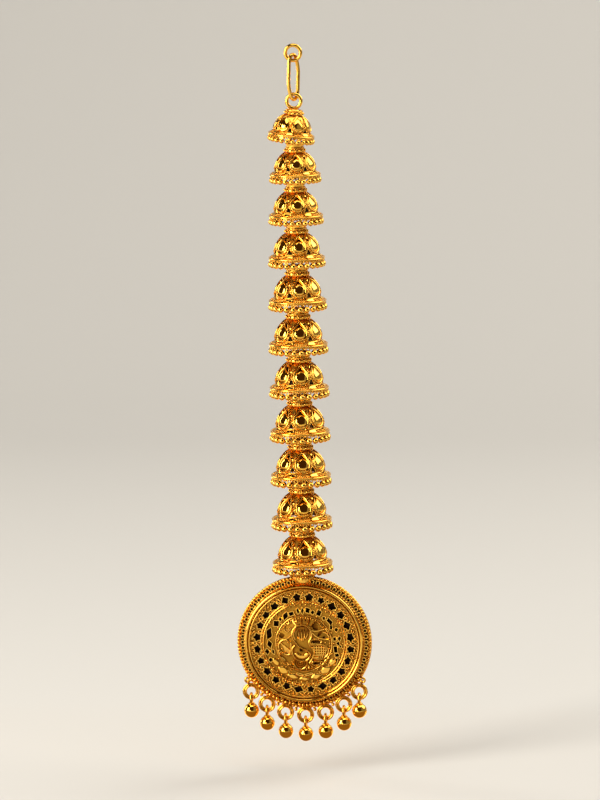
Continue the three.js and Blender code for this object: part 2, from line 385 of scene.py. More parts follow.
# %% Workshop helpers: lathe, grains and joining
def turn(profile, steps, closed=False):
    """Spin a profile of (radius, height) points about Z into a closed or open skin."""
    bm = bmesh.new()
    verts = [bm.verts.new((radius, 0, height)) for radius, height in profile]
    edges = [bm.edges.new(pair) for pair in zip(verts, verts[1:])]
    if closed:
        edges.append(bm.edges.new((verts[-1], verts[0])))
    bmesh.ops.spin(
        bm, geom=verts + edges, cent=(0, 0, 0), axis=(0, 0, 1),
        angle=TURN, steps=steps, use_merge=True,
    )
    bmesh.ops.remove_doubles(bm, verts=bm.verts, dist=1e-4)
    bmesh.ops.recalc_face_normals(bm, faces=bm.faces)
    return bm


def lay(whole, part, matrix=None):
    """Add a copy of part to whole, moved by matrix, and leave part as it was."""
    mesh = bpy.data.meshes.new("passing")
    part.to_mesh(mesh)
    if matrix is not None:
        mesh.transform(matrix)
    whole.from_mesh(mesh)
    bpy.data.meshes.remove(mesh)
    return whole


def grains(places, radius, around=10, rings=7):
    """Small melted balls at the places, each a little different in size."""
    bm = bmesh.new()
    dice = random.Random(len(places))
    for place in places:
        size = radius * dice.uniform(0.93, 1.0)
        bmesh.ops.create_uvsphere(
            bm, u_segments=around, v_segments=rings, radius=size,
            matrix=Matrix.Translation(place) @ Matrix.Rotation(dice.uniform(0, 3), 4, "X"),
        )
    return bm


def ring_places(count, radius, height, start=0.0, span=TURN):
    """Evenly spaced places on a circle about Z."""
    return [
        Vector((
            radius * math.cos(start + span * i / count),
            radius * math.sin(start + span * i / count),
            height,
        ))
        for i in range(count)
    ]


# %% Workshop helpers: wire, rope and pillows
def wire(paths, radius, sides=8, closed=True):
    """Draw round wire along each path."""
    curve = bpy.data.curves.new("drawn", "CURVE")
    curve.dimensions = "3D"
    curve.bevel_depth = radius
    curve.bevel_resolution = max(0, (sides - 4) // 2)
    curve.use_fill_caps = True
    for path in paths:
        spline = curve.splines.new("POLY")
        spline.points.add(len(path) - 1)
        for point, place in zip(spline.points, path):
            point.co = (*place, 1)
        spline.use_cyclic_u = closed
    holder = bpy.data.objects.new("drawn", curve)
    mesh = bpy.data.meshes.new_from_object(holder)
    bm = bmesh.new()
    bm.from_mesh(mesh)
    bpy.data.objects.remove(holder)
    bpy.data.curves.remove(curve)
    bpy.data.meshes.remove(mesh)
    bmesh.ops.remove_doubles(bm, verts=bm.verts, dist=1e-5)
    bmesh.ops.recalc_face_normals(bm, faces=bm.faces)
    return bm


def circle_path(radius, height=0.0, steps=96):
    return ring_places(steps, radius, height)


def evenly(path, spacing, closed=True):
    """The same path with its points moved to equal spacing, and its length."""
    ends = path + [path[0]] if closed else path
    lengths = [(b - a).length for a, b in zip(ends, ends[1:])]
    total = sum(lengths)
    count = max(6, round(total / spacing))
    stops = [total * i / (count if closed else count - 1) for i in range(count)]
    out, leg, passed = [], 0, 0.0
    for stop in stops:
        while leg < len(lengths) - 1 and passed + lengths[leg] < stop:
            passed += lengths[leg]
            leg += 1
        part = (stop - passed) / lengths[leg] if lengths[leg] else 0.0
        out.append(ends[leg].lerp(ends[leg + 1], min(1.0, part)))
    return out, total


def rope(path, strand, lay_length, outward, closed=True, sides=6, per_twist=7):
    """Two strands twisted about a path. outward(place) is the way up off the sheet."""
    _, length = evenly(path, 1.0, closed)
    twists = max(1, round(length / lay_length))
    points, _ = evenly(path, length / (twists * per_twist), closed)
    count = len(points)
    strands = []
    for side in (0, math.pi):
        strand_path = []
        for i, place in enumerate(points):
            before = points[i - 1] if closed or i else place
            after = points[(i + 1) % count] if closed or i < count - 1 else place
            along = (after - before).normalized()
            up = outward(place)
            across = along.cross(up).normalized()
            up = across.cross(along).normalized()
            angle = TURN * twists * i / (count if closed else count - 1) + side
            strand_path.append(place + (up * math.sin(angle) + across * math.cos(angle)) * strand)
        strands.append(strand_path)
    return wire(strands, strand * 1.04, sides, closed)


def pillow(outline, height, edge, sink=0.05):
    """A small raised plate: an outline given a wall and a rounded, crowned top."""
    bm = bmesh.new()
    face = bm.faces.new([bm.verts.new((x, y, -sink)) for x, y in outline])
    face.normal_update()
    if face.normal.z < 0:
        face.normal_flip()
    raised = bmesh.ops.extrude_face_region(bm, geom=[face])
    tops = [item for item in raised["geom"] if isinstance(item, bmesh.types.BMVert)]
    bmesh.ops.translate(bm, verts=tops, vec=(0, 0, height * 0.55 + sink))
    top = next(item for item in raised["geom"] if isinstance(item, bmesh.types.BMFace))
    for share, lift in ((0.35, 0.25), (0.8, 0.15), (1.4, 0.05)):
        bmesh.ops.inset_region(
            bm, faces=[top], thickness=edge * share, depth=height * lift, use_even_offset=False,
        )
    bmesh.ops.recalc_face_normals(bm, faces=bm.faces)
    return bm


def finish(name, bm, matrix, material, body, *nodes, inside=None, smooth=50):
    """Scale a finished bmesh into the frame, give it its gold, hang it on its body, and hide the CAD
    parts it stands for.
    """
    mesh = bpy.data.meshes.new(name)
    bm.to_mesh(mesh)
    mesh.transform(Matrix.Scale(MM, 4) @ matrix)
    for polygon in mesh.polygons:
        polygon.use_smooth = True
    mesh.set_sharp_from_angle(angle=math.radians(smooth))
    mesh.materials.append(material)
    if inside is not None:
        mesh.materials.append(inside)
    obj = bpy.data.objects.new(name, mesh)
    bpy.context.scene.collection.objects.link(obj)
    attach(obj, body)
    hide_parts(*nodes)
    return obj


def triangles(bm):
    return sum(len(face.verts) - 2 for face in bm.faces)


# %% [markdown]
# One bell is drawn at its largest size, 14 mm across the fringe, and the others are the same bell
# made smaller. The dome follows most of a quarter ellipse, drawn in a little at the shoulders, so
# a place on it needs only a direction and a distance up its side. `on_dome` turns those two into
# a point, and everything that is soldered on the dome is first laid out flat and then bent over it.

# %% The dome and its seven cells
BELL_ACROSS = 14.0
DOME_RADIUS, DOME_BASE, DOME_RISE = 5.2, 3.6, 5.05
DOME_FOOT = 2.85
DOME_STOP = math.radians(66)
DOME_POINT = 1.25  # over 1 draws the shoulders in, so the dome comes to more of a point
CELLS = 7
CELL_TURN = TURN / CELLS


def dome_outline(steps):
    """The dome's profile from its foot to under the collar."""
    arc = [
        (DOME_RADIUS * math.cos(DOME_STOP * i / steps) ** DOME_POINT,
         DOME_BASE + DOME_RISE * math.sin(DOME_STOP * i / steps))
        for i in range(steps + 1)
    ]
    return [(DOME_RADIUS, DOME_FOOT)] + arc


DOME_LINE = [Vector((radius, 0, height)) for radius, height in dome_outline(40)]
DOME_STATIONS = [0.0]
for low, high in zip(DOME_LINE, DOME_LINE[1:]):
    DOME_STATIONS.append(DOME_STATIONS[-1] + (high - low).length)
DOME_SIDE = DOME_STATIONS[-1]


def dome_station(up):
    """Radius, height and outward slope of the dome at a distance up its side."""
    up = min(max(up, 0.0), DOME_SIDE - 1e-6)
    leg = next(i for i in range(len(DOME_LINE) - 1) if DOME_STATIONS[i + 1] > up)
    share = (up - DOME_STATIONS[leg]) / (DOME_STATIONS[leg + 1] - DOME_STATIONS[leg])
    place = DOME_LINE[leg].lerp(DOME_LINE[leg + 1], share)
    rise = (DOME_LINE[leg + 1] - DOME_LINE[leg]).normalized()
    return place.x, place.z, Vector((rise.z, 0, -rise.x))


def on_dome(across, up, lift, direction=0.0):
    """A place on the dome: across its side, up its side and lifted off it, in millimetres."""
    radius, height, out = dome_station(up)
    angle = direction + across / max(radius, 1.2)
    flat = Vector((radius, 0, height)) + out * lift
    return Matrix.Rotation(angle, 4, "Z") @ flat


def off_dome(place):
    """The way straight out from the dome at a place near it."""
    flat = math.hypot(place.x, place.y)
    slope = Vector((flat / DOME_RADIUS ** 2, 0, max(0.0, place.z - DOME_BASE) / DOME_RISE ** 2))
    return Matrix.Rotation(math.atan2(place.y, place.x), 3, "Z") @ slope.normalized()


TEAR_POINT = 1.6  # the higher, the longer the pear's tip
TEAR_WIDEST = math.acos(-TEAR_POINT / (2 + TEAR_POINT))  # where it's widest, counted from its tip


def tear(angle, half_width, bottom, top):
    """A point on a pear-shaped outline, counted from its tip."""
    full = math.sin(TEAR_WIDEST) * math.sin(TEAR_WIDEST / 2) ** TEAR_POINT
    across = half_width * math.sin(angle) * abs(math.sin(angle / 2)) ** TEAR_POINT / full
    up = (bottom + top) / 2 + (top - bottom) / 2 * math.cos(angle)
    return across, up


def tear_path(half_width, bottom, top, lift, direction, steps=44):
    return [
        on_dome(*tear(TURN * (i + 0.5) / steps, half_width, bottom, top), lift, direction)
        for i in range(steps)
    ]


print("dome side, mm:", round(DOME_SIDE, 2))
print("cell pitch at the foot, mm:", round(DOME_RADIUS * CELL_TURN, 2))

# %% [markdown]
# Each cell holds a burnished boss like half a pear, point up. A half ball is pushed into the pear
# outline and bent over the dome. It's nearly flat in the middle and falls away at the edge, so it
# mirrors one dark side and picks up one small highlight.

# %% Burnished bosses
BOSS_HALF_WIDTH, BOSS_BOTTOM, BOSS_TOP, BOSS_HEIGHT = 1.28, 1.15, 5.45, 0.26


def bosses():
    ball = bmesh.new()
    bmesh.ops.create_uvsphere(ball, u_segments=28, v_segments=16, radius=1)
    bmesh.ops.bisect_plane(
        ball, geom=ball.verts[:] + ball.edges[:] + ball.faces[:],
        plane_co=(0, 0, 0), plane_no=(0, 0, 1), clear_inner=True,
    )
    widest_up = tear(TEAR_WIDEST, 1, BOSS_BOTTOM, BOSS_TOP)[1]
    whole = bmesh.new()
    for cell in range(CELLS):
        mesh = bpy.data.meshes.new("boss")
        ball.to_mesh(mesh)
        for vert in mesh.vertices:
            reach = min(1.0, math.hypot(vert.co.x, vert.co.y))
            angle = math.atan2(vert.co.x, vert.co.y) % TURN
            across, up = tear(angle, BOSS_HALF_WIDTH, BOSS_BOTTOM, BOSS_TOP)
            vert.co = on_dome(
                across * reach, widest_up + (up - widest_up) * reach,
                0.08 + BOSS_HEIGHT * (1 - reach ** 4) + (across * reach) ** 2 / (2.4 * DOME_RADIUS),
                cell * CELL_TURN,
            )
        whole.from_mesh(mesh)
        bpy.data.meshes.remove(mesh)
    ball.free()
    bmesh.ops.recalc_face_normals(whole, faces=whole.faces)
    return whole


# %% [markdown]
# Round every boss lie a plain wire and, outside it, a twisted one. The twisted wire is what gives
# this work its sparkle: each turn is a tiny bright bar. It is modelled as two real strands, since
# a painted pattern would lose its edge against the dark. Between the cells stand a plain wire arch,
# over a small triangular piercing, and two grains.

# %% Cell wires, arches and grains
RIM = {"half_width": 1.56, "bottom": 0.86, "top": 5.85, "lift": 0.2}
ROPE = {"half_width": 2.0, "bottom": 0.46, "top": 6.4, "lift": 0.12}
RIM_WIRE, ROPE_STRAND, ROPE_LAY = 0.23, 0.09, 0.8
ARCH_HALF_WIDTH, ARCH_FOOT, ARCH_RISE, ARCH_WIRE = 0.72, 0.55, 1.35, 0.12


def cell_rims():
    paths = [tear_path(**RIM, direction=cell * CELL_TURN) for cell in range(CELLS)]
    return wire(paths, RIM_WIRE, 8)


def cell_ropes():
    whole = bmesh.new()
    for cell in range(CELLS):
        path = tear_path(**ROPE, direction=cell * CELL_TURN, steps=60)
        lay(whole, rope(path, ROPE_STRAND, ROPE_LAY, off_dome, per_twist=6, sides=5))
    return whole


def arches_and_grains():
    arches, dots = [], []
    for cell in range(CELLS):
        direction = (cell + 0.5) * CELL_TURN
        arches.append([
            on_dome(
                ARCH_HALF_WIDTH * math.sin(a), ARCH_FOOT + ARCH_RISE * math.cos(a) ** 1.5,
                0.08, direction,
            )
            for a in (TURN / 4 * (i / 7 - 1) for i in range(15))
        ])
        dots += [on_dome(0, up, 0.1, direction) for up in (2.2, 2.75)]
    whole = wire(arches, ARCH_WIRE, 6, closed=False)
    return lay(whole, grains(dots, 0.17, 8, 6))


# %% [markdown]
# The dome itself is thin frosted sheet, so it's turned as one closed wall and then pierced by
# seven small prisms with a boolean cut. The same turning carries the sloped ledge under the dome
# and its short hem, from which the fringe hangs.

# %% Bell wall
LEDGE_RADIUS, LEDGE_TOP, LEDGE_HEM = 6.42, 2.3, 1.9
SHEET = 0.32
PIERCING = ((-0.56, 0.62), (0.56, 0.62), (0.08, 1.7), (-0.08, 1.7))  # across and up the side
PIERCING_DEPTH = 2.2


def pierced(wall, cutters):
    """Cut one closed bmesh out of another with an exact boolean."""
    meshes, holders = [], []
    for name, bm in (("wall", wall), ("cutters", cutters)):
        mesh = bpy.data.meshes.new(name)
        bm.to_mesh(mesh)
        holder = bpy.data.objects.new(name, mesh)
        bpy.context.scene.collection.objects.link(holder)
        meshes.append(mesh)
        holders.append(holder)
    cut = holders[0].modifiers.new("cut", "BOOLEAN")
    cut.operation = "DIFFERENCE"
    cut.solver = "EXACT"
    cut.use_self = True
    cut.object = holders[1]
    graph = bpy.context.evaluated_depsgraph_get()
    result = bpy.data.meshes.new_from_object(holders[0].evaluated_get(graph))
    bm = bmesh.new()
    bm.from_mesh(result)
    for holder in holders:
        bpy.data.objects.remove(holder)
    for mesh in meshes + [result]:
        bpy.data.meshes.remove(mesh)
    return bm


def bell_wall():
    outside = [(2.0, 8.4)] + dome_outline(10)[::-1]
    outside += [(5.3, 2.78), (LEDGE_RADIUS, LEDGE_TOP), (LEDGE_RADIUS + 0.03, LEDGE_TOP - 0.15),
                (LEDGE_RADIUS - 0.05, LEDGE_HEM)]
    inside = [(LEDGE_RADIUS - SHEET, LEDGE_HEM), (LEDGE_RADIUS - SHEET - 0.1, LEDGE_TOP - 0.28)]
    inside += [(radius - SHEET, height - 0.1) for radius, height in dome_outline(10)]
    inside += [(1.8, 8.0)]
    wall = turn(outside + inside, 70, closed=True)
    cutters = bmesh.new()
    for cell in range(CELLS):
        prism = bmesh.new()
        corners = [on_dome(across, up, 1.0) for across, up in PIERCING]
        face = prism.faces.new([prism.verts.new(corner) for corner in corners])
        sweep_in = bmesh.ops.extrude_face_region(prism, geom=[face])
        moved = [item for item in sweep_in["geom"] if isinstance(item, bmesh.types.BMVert)]
        bmesh.ops.translate(prism, verts=moved, vec=(-PIERCING_DEPTH, 0, 0))
        bmesh.ops.recalc_face_normals(prism, faces=prism.faces)
        lay(cutters, prism, Matrix.Rotation((cell + 0.5) * CELL_TURN, 4, "Z"))
        prism.free()
    wall = pierced(wall, cutters)
    for face in wall.faces:
        middle_of_face = face.calc_center_median()
        inward = face.normal.dot(Vector((middle_of_face.x, middle_of_face.y, 0))) < 0
        face.material_index = int(inward and middle_of_face.z > LEDGE_TOP)  # 1 is the near-black lining of painted shade
    return wall


# %% [markdown]
# On the ledge sit seven small burnished plates, one under each piercing, that flash when the light
# is above. Grains fill the space between them, and round wire binds the edge. The collar at the
# top is a flat ring with a twisted wire on it and grains that stand out past it. A flared, open
# neck rises from the collar into the bell above; it's thin sheet, and it glows a deep orange
# because it's lit only through other gold.

# %% Ledge, collar and neck
PLATE_SLOPE = math.radians(46)


def ledge_plates():
    whole = bmesh.new()
    plate = pillow([(-0.95, -0.42), (0.95, -0.42), (0.78, 0.42), (-0.78, 0.42)], 0.18, 0.12)
    seat = (
        Matrix.Translation((5.62, 0, 2.86)) @ Matrix.Rotation(PLATE_SLOPE, 4, "Y")
        @ Matrix.Rotation(TURN / 4, 4, "Z")
    )
    for cell in range(CELLS):
        lay(whole, plate, Matrix.Rotation((cell + 0.5) * CELL_TURN, 4, "Z") @ seat)
    plate.free()
    return whole


def ledge_grains():
    places = []
    for cell in range(CELLS):
        for reach, radius, height, spacing in ((3, 5.6, 2.78, 0.075), (2, 6.02, 2.6, 0.08)):
            for step in range(-reach, reach + 1):
                turned = Matrix.Rotation(cell * CELL_TURN + step * spacing, 4, "Z")
                places.append(turned @ Vector((radius, 0, height)))
    return grains(places, 0.2, 8, 6)


def outward_flat(place):
    return Vector((place.x, place.y, 0)).normalized()


def ledge_wires():
    whole = wire([circle_path(6.52, 2.28)], 0.24, 10)
    return lay(whole, wire([circle_path(5.36, 3.2, 72)], 0.12, 6))


COLLAR_RADIUS, COLLAR_HEIGHT = 2.68, 8.6


def collar():
    whole = turn([(1.7, 8.2), (2.6, 8.25), (2.66, 8.5), (2.6, 8.8), (1.7, 8.85)], 56, closed=True)
    lay(whole, wire([circle_path(2.36, 9.3, 56)], 0.2, 8))
    lay(whole, rope(circle_path(2.42, 8.98), 0.1, 0.6, outward_flat, per_twist=6, sides=5))
    return lay(whole, grains(ring_places(15, COLLAR_RADIUS, COLLAR_HEIGHT), 0.34, 10, 7))


def neck():
    """The flared cup, open at the top, with a rolled lip."""
    whole = turn([
        (2.4, 8.8), (2.26, 9.1), (2.2, 9.5), (2.24, 9.9), (2.38, 10.3), (2.44, 10.42),
        (2.34, 10.47), (2.2, 10.3), (2.04, 9.9), (2.0, 9.5), (2.04, 9.1), (2.1, 8.8),
    ], 56, closed=True)
    lay(whole, wire([circle_path(2.32, 10.4)], 0.09, 6))
    return lay(whole, turn([(0, 9.5), (2.0, 9.5), (2.0, 9.3), (0, 9.3)], 40))


# %% [markdown]
# The fringe is twenty-four small balls. Each is soldered to an upright ring of wire that lies
# against the hem, close enough to its neighbours to read as a line of light from a distance.

# %% Fringe
FRINGE_BALLS = 24
FRINGE_RADIUS, FRINGE_BALL = 6.22, 0.77
FRINGE_EYE, FRINGE_EYE_WIRE = 0.38, 0.17


def fringe_balls():
    return grains(ring_places(FRINGE_BALLS, FRINGE_RADIUS, FRINGE_BALL), FRINGE_BALL, 16, 11)


def fringe_eyes():
    """One upright ring of wire over each ball, facing outwards against the hem."""
    whole = bmesh.new()
    eye = wire([circle_path(FRINGE_EYE, 0, 12)], FRINGE_EYE_WIRE, 6)
    seat = Matrix.Translation((LEDGE_RADIUS + 0.04, 0, 1.72)) @ Matrix.Rotation(TURN / 4, 4, "Y")
    for index in range(FRINGE_BALLS):
        lay(whole, eye, Matrix.Rotation(TURN * index / FRINGE_BALLS, 4, "Z") @ seat)
    eye.free()
    places = ring_places(FRINGE_BALLS, LEDGE_RADIUS + 0.04, 1.86, TURN / FRINGE_BALLS / 2)
    return lay(whole, grains(places, 0.24, 8, 6))


BELL_PARTS = {
    "wall": (bell_wall(), FROSTED),
    "bosses": (bosses(), BURNISHED),
    "cell_rims": (cell_rims(), BURNISHED),
    "cell_ropes": (cell_ropes(), DRAWN),
    "arches": (arches_and_grains(), GRAINED),
    "ledge_plates": (ledge_plates(), BURNISHED),
    "ledge_grains": (ledge_grains(), GRAINED),
    "ledge_wires": (ledge_wires(), DRAWN),
    "collar": (collar(), GRAINED),
    "fringe_eyes": (fringe_eyes(), DRAWN),
    "fringe_balls": (fringe_balls(), BURNISHED),
}
NECK = neck()
for part_name, (part, _) in BELL_PARTS.items():
    print(part_name, "triangles:", triangles(part))

# %% [markdown]
# Inside, out of sight, a pin runs down through the crown and ends in a round eye. The next bell's
# eye hangs on it, turned a quarter. The CAD gives their heights, because those eyes are what the
# chain really hangs by.

# %% Set the bells in their places
EYE_RADIUS, EYE_WIRE, PLAY = 1.1, 0.35, 0.2
RING_WIRE, BELL_RING_RADIUS = 0.42, 1.55
BELLS = [f"bell_{number:02d}" for number in range(1, 12)]
FIRST_STEP = 8.9  # from the first bell's mouth down to the second's
FIRST_LEAN = math.radians(7.5)
FRONT = -TURN / 4
FRONT_CELL, HAND_SPREAD, FIRST_CELL = 11, 2.5, 25  # degrees from the front to a cell's middle
COLLAR_TOP = 8.85


def box_mm(node):
    low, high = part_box(node)
    return Vector(low) / MM, Vector(high) / MM


def eye_ring(centre_height, edge_on, radius=EYE_RADIUS, thickness=EYE_WIRE):
    path = [Matrix.Rotation(TURN / 4, 4, "X") @ place for place in circle_path(radius, 0, 40)]
    if edge_on:
        path = [Matrix.Rotation(TURN / 4, 4, "Z") @ place for place in path]
    return wire([[place + Vector((0, 0, centre_height)) for place in path]], thickness, 10)


def pin(bottom, top):
    return wire([[Vector((0, 0, bottom)), Vector((0, 0, top))]], EYE_WIRE, 10, closed=False)


link_top = box_mm("pendant_link")[1].z - EYE_WIRE
bell_turn = random.Random(11)
for number, node in enumerate(BELLS):
    low, high = box_mm(node)
    scale = (high.y - low.y) / BELL_ACROSS
    mouth = low.z if number else box_mm(BELLS[1])[0].z + FIRST_STEP
    lower_eye_bottom = (
        box_mm(BELLS[number + 1])[1].z - EYE_WIRE if number < len(BELLS) - 1 else link_top
    ) - 2 * EYE_WIRE - PLAY
    lean = 0.0 if number else FIRST_LEAN
    collar_pivot = Vector((0, 0, COLLAR_TOP * scale))
    hand_set = FRONT_CELL + bell_turn.uniform(-HAND_SPREAD, HAND_SPREAD) if number else FIRST_CELL
    around = Matrix.Rotation(FRONT + math.radians(hand_set), 4, "Z")
    stand = (
        Matrix.Translation(Vector((0, 0, mouth)) + collar_pivot)
        @ Matrix.Rotation(lean, 4, "Y")
        @ Matrix.Translation(-collar_pivot)
        @ Matrix.Scale(scale, 4)
        @ around
    )
    for part_name, (part, material) in BELL_PARTS.items():
        # Inside each bell wall lies the near-black lining, painted shade.
        inside = OXIDE if part_name == "wall" else None
        finish(f"{node}_{part_name}", part, stand, material, "chain", node, inside=inside)
    inner = eye_ring(lower_eye_bottom + EYE_RADIUS, edge_on=True)
    lay(inner, pin(lower_eye_bottom + 2 * EYE_RADIUS, mouth + 8.0 * scale))
    if number:
        lay(inner, eye_ring(high.z - EYE_WIRE - EYE_RADIUS, edge_on=False))
        finish(f"{node}_neck", NECK, stand, FROSTED, "chain", node)
    else:
        ring_centre = high.z - RING_WIRE - BELL_RING_RADIUS
        lay(inner, eye_ring(ring_centre, False, BELL_RING_RADIUS, RING_WIRE))
        cap = turn([(0, 8.7), (2.0, 8.7), (1.85, 9.05), (1.4, 9.35), (1.2, 9.62), (0, 9.62)], 40)
        finish(f"{node}_cap", cap, stand, FROSTED, "chain", node)
    finish(f"{node}_eyes", inner, Matrix.Identity(4), DRAWN, "chain", node)
print("bells placed:", len(BELLS))

# %% [markdown]
# The top ring and the oval link are plain drawn wire, soldered shut. Nothing is as regular as a
# computed ring: the long sides of the link bow a little and one of them carries the small lump of
# its solder joint.

# %% Top ring and oval link
TOP_RING_RADIUS = 1.67
low, high = box_mm("top_ring")
top_ring = eye_ring(high.z - RING_WIRE - TOP_RING_RADIUS, False, TOP_RING_RADIUS, RING_WIRE)
finish("top_ring_wire", top_ring, Matrix.Identity(4), DRAWN, "chain", "top_ring")

low, high = box_mm("oval_link")
OVAL_HALF_WIDTH, OVAL_TURN = 1.38, math.radians(46)
half_height = (high.z - low.z) / 2 - RING_WIRE
oval = []
for step in range(96):
    angle = TURN * step / 96
    across = OVAL_HALF_WIDTH * math.copysign(abs(math.cos(angle)) ** 0.85, math.cos(angle))
    up = half_height * math.copysign(abs(math.sin(angle)) ** 0.85, math.sin(angle))
    oval.append(Vector((across + 0.06 * math.sin(1.1 * up), 0, up)))
oval = evenly(oval, 0.3)[0]
link = wire([oval], RING_WIRE, 10)
solder = grains([oval[len(oval) * 7 // 8]], RING_WIRE * 1.08, 14, 10)
lay(link, solder)
oval_stand = Matrix.Translation((0, 0, (low.z + high.z) / 2)) @ Matrix.Rotation(OVAL_TURN, 4, "Z")
finish("oval_link_wire", link, oval_stand, DRAWN, "chain", "oval_link")

low, high = box_mm("pendant_link")
JUMP_RING_RADIUS = 1.6
jump = eye_ring((low.z + high.z) / 2, False, JUMP_RING_RADIUS, EYE_WIRE)
finish("pendant_link_wire", jump, Matrix.Identity(4), DRAWN, "pendant_link", "pendant_link")
print("link height, mm:", round(2 * half_height + 2 * RING_WIRE, 2))

# %% [markdown]
# The pendant is made lying face up on the bench, with Z as its depth, and stood up at the end. It
# has a flat back sheet, a flange whose edge is bound with grains, and a bezel: an upright wall
# with a smooth double ring on its crown. The CAD's back mount gives its middle and its back.

# %% Pendant: back, flange and bezel
mounts = {mount["name"]: mount for mount in frame["record"]["mounts"]}
back = mounts["pendant_back"]["pos_m"]
stand_up = (
    Matrix.Translation((0, back[1] / MM, back[2] / MM)) @ Matrix.Rotation(TURN / 4, 4, "X")
)
FLANGE_RADIUS = 15.16


def up_from_bench(_place):
    """The way off the face is the same everywhere, so a rope's place doesn't matter."""
    return Vector((0, 0, 1))


def on_pendant(name, bm, material):
    return finish(name, bm, stand_up, material, "pendant", "pendant")


back_sheet = turn([(0, 0), (14.7, 0), (14.85, 0.15), (14.7, 0.35), (0, 0.35)], 120)
on_pendant("pendant_back_sheet", back_sheet, FROSTED)
# A near-black sheet behind the openings, painted shade so that they look into darkness.
inner_scale = turn([(0, 0.36), (14.3, 0.36), (14.3, 0.42), (0, 0.42)], 72)
on_pendant("pendant_inner_scale", inner_scale, OXIDE)

edge = wire([circle_path(14.9, 0.35, 120)], 0.24, 8)
lay(edge, wire([circle_path(13.5, 0.85, 120)], 0.16, 8))
lay(edge, turn([(14.5, 0.3), (15.02, 0.3), (14.95, 0.7), (14.5, 0.7)], 120, closed=True))
on_pendant("pendant_flange", edge, DRAWN)

EDGE_GRAINS = 118
edge_grains = grains(ring_places(EDGE_GRAINS, FLANGE_RADIUS - 0.41, 0.85), 0.4, 10, 7)
on_pendant("pendant_edge_grains", edge_grains, GRAINED)

LOOPLETS = 66
looplet = wire([circle_path(0.42, 0, 12)], 0.17, 6)
looplets = bmesh.new()
for place in ring_places(LOOPLETS, 13.92, 0.85):
    lay(looplets, looplet, Matrix.Translation(place))
on_pendant("pendant_flange_looplets", looplets, GRAINED)

bezel = turn([
    (12.75, 0.3), (13.28, 0.3), (13.28, 2.35), (13.2, 2.45), (12.85, 2.45), (12.75, 2.3),
], 140, closed=True)
lay(bezel, wire([circle_path(12.98, 2.62, 140)], 0.34, 12))
lay(bezel, wire([circle_path(12.3, 2.42, 140)], 0.2, 10))
on_pendant("pendant_bezel", bezel, BURNISHED)
bezel_ropes = rope(circle_path(13.32, 1.1, 140), 0.13, 0.7, up_from_bench, per_twist=6, sides=5)
on_pendant("pendant_bezel_rope", bezel_ropes, DRAWN)
print("pendant middle, mm:", [round(v / MM, 2) for v in back])

# %% [markdown]
# The face inside the bezel is openwork. First comes a dense zone of small scrolls between two
# rows of grains, then a ring of ragged openings that look into the dark hollow, then a rope
# between two plain wires, then a second zone of openings, and last the raised middle. The sheet
# under it all is turned as a flat ring and cut by star-shaped prisms; no two are quite alike.

# %% Pendant: pierced sheet
PLATE_BACK, PLATE_FACE = 1.55, 2.0
SHEET_INNER, SHEET_OUTER = 5.9, 12.8
OUTER_COUNT, OUTER_ORBIT = 24, 10.55
SMALL_COUNT, SMALL_ORBIT = 30, 7.7
INNER_SPREAD = 1.08  # how much wider than listed the inner openings are cut
RIM_SPREAD, OPENING_RIM = 1.1, 0.16
# Inner openings: across, up, width, height and tilt in degrees.
INNER_HOLES = (
    (-7.75, 2.2, 1.2, 2.3, -8), (-7.7, -0.2, 0.95, 1.5, 12), (-6.1, 4.5, 1.3, 1.3, 40),
    (-5.2, 5.5, 0.7, 0.8, 0), (-4.0, 6.25, 0.95, 1.6, -20), (-2.7, 6.75, 1.1, 0.9, 20),
    (-1.2, 7.35, 0.6, 1.2, 10), (-0.2, 7.4, 0.6, 1.3, 0), (1.0, 7.5, 1.0, 1.2, 0),
    (2.1, 7.05, 0.8, 0.9, 0), (3.5, 6.9, 1.1, 1.3, -20), (4.6, 5.7, 0.7, 0.8, 0),
    (5.9, 5.0, 0.9, 1.6, 35), (6.2, 3.6, 0.7, 1.0, 10), (7.35, 3.1, 0.75, 0.9, 0),
    (6.95, 1.0, 0.75, 0.9, 0), (8.0, 1.1, 0.7, 1.0, 0), (7.1, -1.4, 0.9, 1.5, 10),
    (8.2, -0.7, 0.6, 0.6, 0), (7.4, -2.7, 1.0, 0.8, 0), (6.5, -4.3, 2.0, 1.2, 35),
    (-8.25, -1.9, 0.9, 1.2, 15), (-7.5, -3.8, 0.9, 0.9, 0), (-6.9, -1.9, 0.6, 1.1, 20),
    (-1.0, -7.1, 1.5, 0.36, -14), (1.0, -7.05, 1.5, 0.36, 12),
)
shears = random.Random(28)


def lobed(width, height, lobes=5, segments=20):
    """A ragged opening's outline, a little different every time."""
    phase = shears.uniform(0, TURN)
    outline = []
    for step in range(segments):
        angle = TURN * step / segments
        reach = 0.5 * (1 + 0.17 * math.cos(lobes * angle + phase) + shears.uniform(-0.05, 0.05))
        outline.append(Vector((width * reach * math.cos(angle), height * reach * math.sin(angle), 0)))
    return outline


def clear_of_holes(place, gap):
    """Whether a place on the sheet is farther than gap from every inner opening."""
    return all(
        math.hypot(place.x - x, place.y - y) > gap + max(width, height) / 2
        for x, y, width, height, _ in INNER_HOLES
    )


def prism(outline, depth):
    """A closed cutter that stands on an outline."""
    bm = bmesh.new()
    face = bm.faces.new([bm.verts.new(corner) for corner in outline])
    up = bmesh.ops.extrude_face_region(bm, geom=[face])
    moved = [item for item in up["geom"] if isinstance(item, bmesh.types.BMVert)]
    bmesh.ops.translate(bm, verts=moved, vec=(0, 0, depth))
    bmesh.ops.recalc_face_normals(bm, faces=bm.faces)
    return bm


